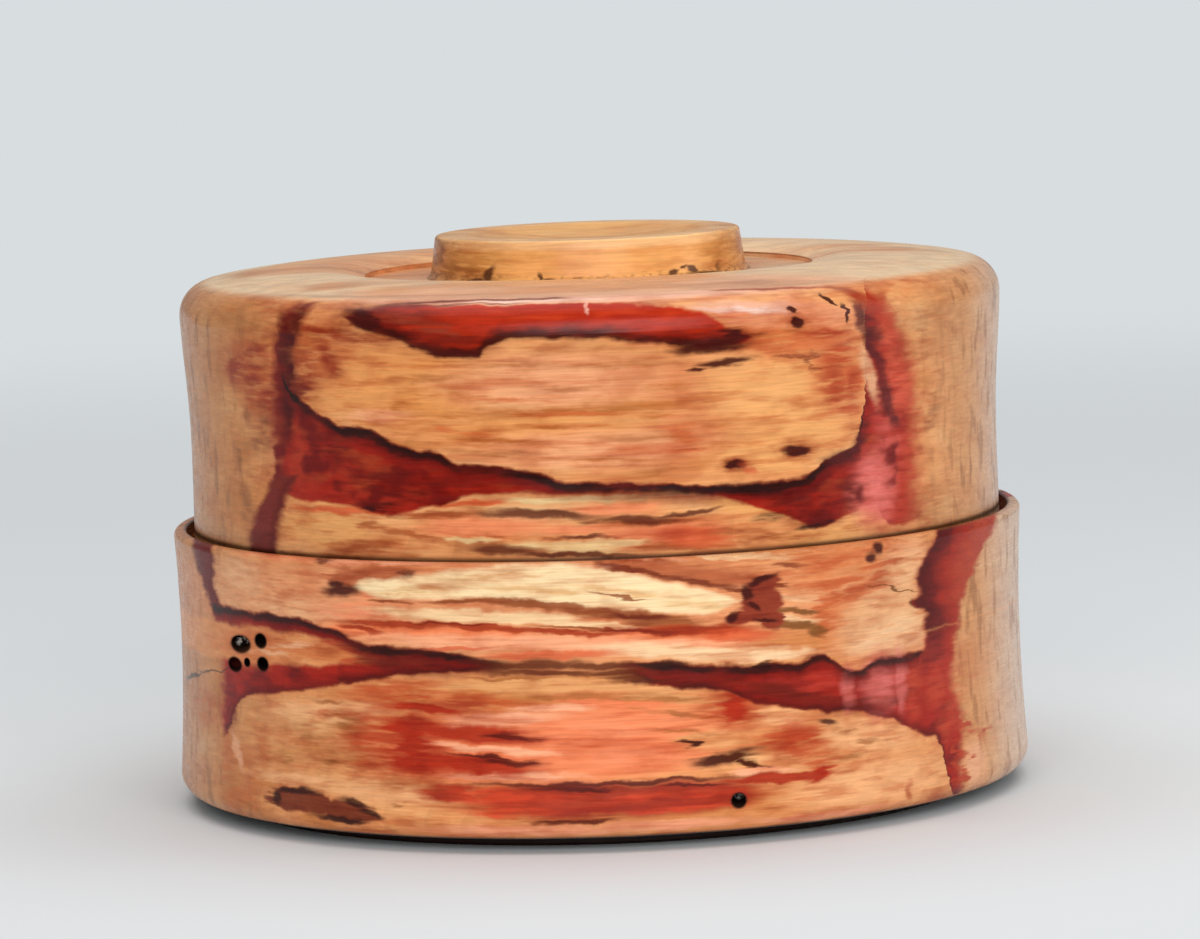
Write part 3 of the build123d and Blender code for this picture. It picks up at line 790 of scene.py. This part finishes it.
def lid_flame(wood, outline):
    """The flame: a wedge from each side that thins to a line in the middle, and its bars. Outline is the
    line that the right-hand bar begins at."""
    island_foot = wood.above(
        (-46, 78), (-43.9, 70), (-43.2, 66), (-41.4, 63), (-38.5, 61.3), (-35, 59.4), (-31.5, 58.8),
        (-27, 56.6), (-22, 55.9), (-19, 54.4), (-12.5, 53.9), (-8, 52.8), (-3, 51.5), (4, 51.3), (12, 50.5),
        (24, 50), (29.5, 50.6), (32.5, 52.6), (36.4, 54), (38, 60), (38.5, 70), (39, 82),
    )
    wedge_foot = wood.above(
        (-50, 50.5), (-44.6, 49.9), (-43, 49), (-38, 48.4), (-33, 47.8), (-29.6, 47), (-25.5, 47.6),
        (-21, 48.8), (-15, 50.2), (2, 50.1), (12, 49.6), (19, 48), (24, 46), (28, 44.4), (31, 43.2),
        (35, 44.6), (38.6, 45.4), (41, 42.6), (46, 42),
    )
    left_edge = wood.right_of(
        (-45.6, 48), (-45.4, 52), (-44.9, 60), (-44.4, 66), (-44.2, 70), (-43.2, 74), (-40, 77.4)
    )
    right_edge = wood.right_of((45, 41), (45, 52), (45.2, 60), (44.6, 66), (43, 71), (41, 74), (38, 77))
    lower_bar_left = wood.right_of(
        (-50, 40), (-49.4, 43.5), (-48.4, 46.6), (-46.8, 49.3), (-45.2, 52), (-43.6, 54.5)
    )
    lower_bar_right = wood.right_of(
        (-45.6, 40), (-45.2, 43), (-44.4, 46.6), (-43.4, 49.6), (-42, 52), (-40, 54.5)
    )
    across_flame = wood.inside(wedge_foot, wood.opposite(island_foot), soft=0.35)
    along_flame = wood.inside(left_edge, wood.opposite(right_edge), soft=1.8)
    flame = wood.overlap(across_flame, along_flame)
    wood.stain("#A41E0A", flame)
    patches = wood.add("MapRange", wood.grain((8, 6, 3), detail=3.0, seed=57.0), 0.5, 0.66, 0, 0.7)
    wood.stain("#A8401E", wood.overlap(patches, flame))
    # Lighter red, and a painted pink highlight at the right
    wood.strokes("#BE4028", (43.4, 54, 2.4, 9), (41, 46, 4, 3.4), soft=0.8, fray=0.4)
    wood.strokes("#D45C52", (41.4, 55, 1.6, 6), soft=1, strength=0.7, fray=0.5)
    # Painted pink highlight, where the finish mirrors a light
    wood.strokes("#EC7C72", (38.8, 47.6, 2.8, 4.6), soft=0.59, strength=0.8, fray=0.5)
    wood.strokes(
        "#B43A22", (-41, 53.6, 2, 4), (-31, 49.6, 5, 1), (-35, 52, 1.6, 2), (-40, 58, 2.6, 1.6),
        soft=0.9, strength=0.6, fray=0.6,
    )
    wood.strokes("#741208", (-18, 51.8, 11, 1.8, -5), soft=0.9, strength=0.7)
    wood.strokes("#DC5E40", (43.2, 62.8, 1.8, 4), (42, 68, 1.4, 4, 12), soft=0.9, fray=0.4)
    # Mottled maroon, and the darkest spots
    mottle = wood.add("MapRange", wood.grain((5, 6, 3.4), seed=52.0), 0.47, 0.66)
    wedges = wood.inside(wedge_foot, wood.opposite(island_foot), left_edge, wood.opposite(outline))
    wood.stain("#740E06", wood.overlap(mottle, wedges))
    wood.strokes(
        "#660A04", (-28.6, 51.2, 6, 2, -10), (-37, 56.4, 4, 1.4, -30), (30, 45, 3.8, 1.4),
        (27, 47.6, 4, 1.6, -20), (-42, 63.4, 1.6, 2.6), (34, 47.5, 3, 2.4),
        soft=0.6, strength=0.8,
    )
    wood.strokes(
        ZONE_LINE, (-29.4, 47.9, 2.4, 0.9), (24.4, 45.3, 2.4, 0.5), (22, 49.2, 5, 0.7, -8),
        (31, 43.6, 2, 0.5),
        soft=0.6,
    )
    # The bar that runs on down to the rim
    below_wedge = wood.below((-60, 52), (-40, 52))
    lower_bar = wood.inside(lower_bar_left, wood.opposite(lower_bar_right), below_wedge, soft=0.7)
    wood.stain("#7A2214", lower_bar)
    wood.layers(
        lower_bar_right,
        [(-1.6, "#5E0E06", 0), (-0.6, "#5E0E06", 0.8), (0.4, "#8A3A20", 0)],
        lower_bar,
    )
    wood.layers(
        left_edge,
        [
            (-1, "#8A3A20", 0), (0.2, "#7A1204", 0.95), (1.6, "#520400", 1), (2.2, "#520400", 1),
            (3.6, "#8A2410", 0),
        ],
        wood.band(wood.up, 57, 76, 2),
    )
    wood.strokes("#5E0E06", (-43.3, 70, 0.8, 4.4), soft=0.6, fray=0.3)
    wood.layers(
        island_foot,
        [
            (-3.2, MAROON, 0), (-1.6, MAROON, 0.8), (-1, ZONE_LINE, 0.92), (-0.3, ZONE_LINE, 1),
            (0.3, BARK_BROWN, 0),
        ],
        wood.inside(left_edge, wood.opposite(outline), wood.below((-60, 66), (60, 66)), soft=1.2),
    )


def lid_shoulder_band(wood):
    """The red band that lies along the shoulder, with a thin dark arc above it."""
    crest_foot = wood.above(
        (-34.5, 75), (-32.6, 73.6), (-28.6, 72.5), (-24.6, 71), (-20.6, 69.6), (-16, 69.3), (-14.2, 70.9),
        (-10.5, 72), (-4, 72), (3.5, 71.5), (10, 70.5), (15, 69.6), (21, 69.9), (24, 72),
    )
    crest_head = wood.above(
        (-34.5, 74.6), (-31, 75.8), (-26, 76.6), (-18, 76.4), (-8, 76.5), (4, 76.2), (11, 75.6), (16, 74.2),
        (20, 71.6), (24, 69.6),
    )
    rim_arc = wood.above((-34, 75), (-29, 76.4), (-23, 77.5), (-14, 78.4), (-2, 78.6), (6, 78.6))
    crest = wood.inside(crest_foot, wood.opposite(crest_head), soft=0.35)
    wood.stain("#BC2C0A", crest)
    wood.strokes("#C02A08", (12, 72.6, 8, 2), (0, 73.4, 14, 0.7), soft=0.6, strength=0.8)
    wood.strokes(
        "#7E1A0A", (-27, 73.9, 8, 2.8, -4), (-19, 71.4, 6, 2), (17, 71.4, 5.4, 1.8, -16),
        soft=0.6, strength=0.95,
    )
    wood.strokes("#9A3A24", (-27, 74.6, 4, 0.7, -4), (-21.4, 73.2, 3, 0.8, -8), soft=0.6, strength=0.8)
    wood.strokes("#CE4018", (-7, 75, 11, 0.6), (8, 74.8, 5, 0.5, -3), soft=0.6, strength=0.6)
    wood.layers(
        crest_foot,
        [(-0.6, BARK_BROWN, 0), (0, "#3A0A04", 0.95), (0.7, "#3A0A04", 0.9), (2, MAROON, 0)],
        wood.band(wood.across, -34, 21, 1.5),
    )
    wood.layers(
        rim_arc,
        [(-0.7, "#6E2416", 0), (-0.2, "#6E2416", 0.85), (0.2, "#7A3424", 0.85), (0.8, "#7A3424", 0)],
        wood.band(wood.across, -33.6, -3, 2),
    )
    wood.strokes(
        "#460A04", (16.6, 69.4, 5.2, 0.7, 2), (18, 67.3, 3, 0.6), (14.7, 66.5, 1.6, 0.3),
        (19.8, 71.2, 1.4, 0.8), (-31.6, 74.6, 2.2, 0.9, -20), (-19, 69.9, 3.4, 0.5),
        strength=0.95,
    )
    wood.strokes("#7A2E1C", (-22, 76.5, 5, 0.3, 3), (-14, 76.9, 5, 0.25), soft=0.6, strength=0.75)
    # A painted glint on the crest
    wood.strokes("#F6B8A4", (-0.4, 75.7, 0.3, 1), fray=0.2)


def lid_right_bar(wood, outline):
    """The right-hand bar, its outline and a painted pale highlight streak inside it."""
    corner_arc = wood.above((14, 79.6), (22, 78.6), (29, 77.6), (34, 76.7), (37.4, 75), (39.4, 72.6))
    # Painted pale highlight streak
    wood.strokes("#E6AA7E", (38.8, 64, 0.8, 4, 14), soft=0.59, strength=0.9, fray=0.2)
    wood.layers(
        outline,
        [(-1, "#7A2A20", 0), (-0.3, "#5A1414", 0.85), (0.5, "#5A1414", 0.85), (1.3, "#7A2A20", 0)],
        wood.band(wood.up, 56, 74.5),
    )
    wood.strokes(
        "#561210", (39.2, 70.6, 1.3, 3, 16), (37.6, 55.4, 0.7, 2.4, -28), (34.2, 52.5, 2.2, 1),
        (36.4, 53.4, 1.4, 0.6, 30),
        soft=0.7, strength=0.9, fray=0.4,
    )
    wood.layers(
        corner_arc,
        [(-0.6, "#A84428", 0), (-0.1, "#9A3620", 0.85), (0.3, "#A84428", 0.7), (0.9, "#B86848", 0)],
        wood.band(wood.across, 17, 39.6, 2),
    )
    wood.strokes("#B23A1C", (38, 74.6, 2.2, 0.9, -34), (41.4, 72, 1, 3, 18), soft=0.8, fray=0.4)
    wood.strokes(
        "#A0401A", (19.3, 52.9, 2, 0.9, -8), (28.2, 54.2, 2.9, 1.2, -3), (28.6, 72.2, 1.3, 1.3),
        soft=0.6, strength=1, fray=0.5,
    )
    wood.strokes(
        "#420A04", (19.3, 52.9, 1.5, 0.55, -8), (28.2, 54.2, 2.2, 0.75, -3), (28.6, 72.2, 0.9, 0.9),
        (28.2, 74, 0.9, 0.35, -8), (33.4, 75, 1.6, 0.25, -26), (35.8, 73, 0.3, 1.5, 15),
        soft=0.3, strength=0.95, fray=0.5,
    )
    wood.strokes("#D0603A", (21.2, 52, 1.3, 0.6, -35), soft=0.6, strength=0.8, fray=0.2)


def lid_wood():
    """Flame box elder on the upper tier, with its stains where the real box has them."""
    wood = Board("lid_box_elder", top_starts=LID_TOP_RADIUS)
    wood.lay_sapwood()
    lid_island(wood)
    lid_skirt(wood)
    lid_surrounds(wood)
    outline = wood.right_of(
        (42.6, 55), (41.6, 58.5), (40.7, 62), (40.4, 65), (39.2, 67.6), (38.2, 70), (37.6, 73), (36.4, 76)
    )
    lid_flame(wood, outline)
    lid_shoulder_band(wood)
    lid_right_bar(wood, outline)
    wood.fade_with_depth()
    # Painted shade along the seam where the skirt meets the rim
    painted_seam_shade = wood.band(wood.z, RIM_HEIGHT - 0.5, RIM_HEIGHT + 0.3, 0.35)
    wood.stain("#2E1006", wood.add("Math", painted_seam_shade, 0.85, operation="MULTIPLY"))
    return wood.finish()


def knob_wood():
    """Plain golden box elder for the knob, with brown stain on the left and bark specks round its foot."""
    wood = Board("knob_box_elder", wanders=False)
    wood.lay_sapwood()
    wood.strokes("#F0B268", (0, 80, 26, 9), soft=0.3)
    # A painted highlight on the flat rim round the knob's dish
    round_dish = wood.add("MapRange", wood.radius, KNOB_DISH_RADIUS - 1.8, KNOB_DISH_RADIUS + 0.8)
    on_top = wood.add("MapRange", wood.z, KNOB_TOP_HEIGHT - 1.7, KNOB_TOP_HEIGHT - 1)
    ring = wood.overlap(round_dish, on_top)
    wood.stain("#F6C48A", wood.add("Math", ring, 0.8, operation="MULTIPLY"))
    wood.strokes("#BC7834", (-19, 79, 7, 3.4), (21, 79.4, 4, 3), soft=0.6, strength=0.75)
    wood.strokes("#96581E", (-20.4, 77.8, 5.4, 1.5), (-22, 80.6, 1.6, 2), soft=0.6, strength=0.75)
    wood.smooth = 0.6
    speckled = wood.add("MapRange", wood.grain((1.1, 1.1, 0.5), detail=4.0, seed=13.0), 0.5, 0.6)
    near_foot = wood.add("MapRange", wood.up, KNOB_FOOT_HEIGHT + 2, KNOB_FOOT_HEIGHT - 0.2, 0, 0.75)
    wood.stain("#7A4414", wood.overlap(speckled, near_foot))
    at_foot = wood.add("MapRange", wood.up, KNOB_FOOT_HEIGHT + 0.3, KNOB_FOOT_HEIGHT - 0.3, 0, 0.7)
    wood.stain("#6A3A10", at_foot)
    in_front = wood.add("MapRange", wood.y, -12, -15)
    marks = wood.leaves(
        (-14.2, 77.8, 0.7, 1.5, -30), (-15.6, 76.8, 2.2, 0.4), (-5.6, 77, 1, 0.5),
        (-6.8, 77.5, 0.3, 0.8, 20), (19.2, 77.7, 0.5, 1.2, -20), (17, 76.9, 2.6, 0.4),
        (12.4, 77.2, 1, 0.35, 20), (15, 77.5, 0.7, 0.3, -30), (21.4, 78.6, 0.35, 0.9),
        (-22.6, 76.8, 1, 0.3), (10.4, 76.7, 0.7, 0.3), (14, 77.9, 0.5, 0.25),
        soft=0.5, strength=0.9, fray=0.2,
    )
    wood.stain("#4A2208", wood.overlap(marks, in_front))
    return wood.finish()


for node, material in (("base", base_wood()), ("lid", lid_wood()), ("knob", knob_wood())):
    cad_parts[node].material_slots[0].material = material
    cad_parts[node].data.shade_smooth()


# The box stands on smooth cotton cloth: matt, pale and a little cool. The room in front of it is dim, so
# the front of the box mirrors little light and its dark stains stay deep.
CLOTH = "#E4E7E8"
DIM_ROOM = "#4A4744"
CLOTH_RADIUS = 6.0  # metres
CLOTH_FADES = (0.22, 0.9)  # metres from the middle over which the cloth runs into the backdrop
ROOM_DIMS = (-0.2, -0.36)  # metres along Y over which the room in front turns dim
bpy.ops.mesh.primitive_circle_add(vertices=128, radius=CLOTH_RADIUS, fill_type="NGON", location=(0, 0, 0))
cloth = bpy.context.object
cloth.name = "cloth"
cloth_material = bpy.data.materials.new("white_cloth")
cloth_material.use_nodes = True
cloth_material.node_tree.nodes.clear()
lay = partial(add, cloth_material.node_tree)
spot = lay("TexCoord").outputs["Object"]
far = lay("VectorMath", spot, operation="LENGTH").outputs["Value"]
far = lay("MapRange", far, *CLOTH_FADES)
in_front = lay("SeparateXYZ", spot).outputs["Y"]
in_front = lay("MapRange", in_front, *ROOM_DIMS)
ray = lay("LightPath")
mirrored = lay("Math", ray.outputs["Is Glossy Ray"], in_front, operation="SUBTRACT", use_clamp=True)
seen = lay("Math", ray.outputs["Is Camera Ray"], mirrored, operation="MAXIMUM")
dim = lay("Math", in_front, ray.outputs["Is Camera Ray"], operation="SUBTRACT", use_clamp=True)
floor_colour = lay("Mix", named={0: dim, 6: linear(CLOTH), 7: linear(DIM_ROOM)}, data_type="RGBA")
lit = lay("BsdfDiffuse", floor_colour.outputs[2])
backdrop = lay("Emission", linear("#D8DDE0"), 1.0)
lay("OutputMaterial", lay("MixShader", lay("Math", far, seen, operation="MULTIPLY"), lit, backdrop))
cloth.data.materials.append(cloth_material)

BOX_MIDDLE = Vector((0, 0, 0.05))


def softbox(name, place, width, height, watts):
    """A rectangular soft white lamp that shines on the box."""
    lamp = bpy.data.lights.new(name, "AREA")
    lamp.shape = "RECTANGLE"
    lamp.size, lamp.size_y = width, height
    lamp.energy = watts
    holder = bpy.data.objects.new(name, lamp)
    holder.location = place
    holder.rotation_euler = (BOX_MIDDLE - Vector(place)).to_track_quat("-Z", "Y").to_euler()
    bpy.context.scene.collection.objects.link(holder)


softbox("overhead", (0.0, 0.1, 0.95), width=1.2, height=0.9, watts=5.6)
softbox("front_window", (0.12, -1.25, 0.46), width=1.2, height=0.7, watts=11.5)
softbox("side_strip", (0.62, -0.12, 0.2), width=0.2, height=0.4, watts=0.5)

world = bpy.data.worlds.new("studio")
bpy.context.scene.world = world
world.use_nodes = True
world.node_tree.nodes["Background"].inputs["Color"].default_value = linear("#E6EAEE")
world.node_tree.nodes["Background"].inputs["Strength"].default_value = 0.36

# The photograph's view: a long lens a little above the crest, rolled by a hair under 2 degrees
camera_place = Vector((0, -0.9, 0.1401))
camera_yaw, camera_pitch, camera_roll = 0.0008, 0.1030, radians(1.949)
level_forward = Vector((sin(camera_yaw), cos(camera_yaw), 0))
forward = cos(camera_pitch) * level_forward - Vector((0, 0, sin(camera_pitch)))
level_right = Vector((cos(camera_yaw), -sin(camera_yaw), 0))
level_up = level_right.cross(forward)
camera_up = cos(camera_roll) * level_up + sin(camera_roll) * level_right
camera_right = cos(camera_roll) * level_right - sin(camera_roll) * level_up
camera_data = bpy.data.cameras.new("camera")
camera_data.sensor_width = 36.0
camera_data.lens = 183.38
camera = bpy.data.objects.new("camera", camera_data)
bpy.context.scene.collection.objects.link(camera)
turn = Matrix((camera_right, camera_up, -forward)).transposed().to_4x4()
camera.matrix_world = Matrix.Translation(camera_place) @ turn
bpy.context.scene.camera = camera

bpy.context.scene.view_settings.view_transform = "Standard"
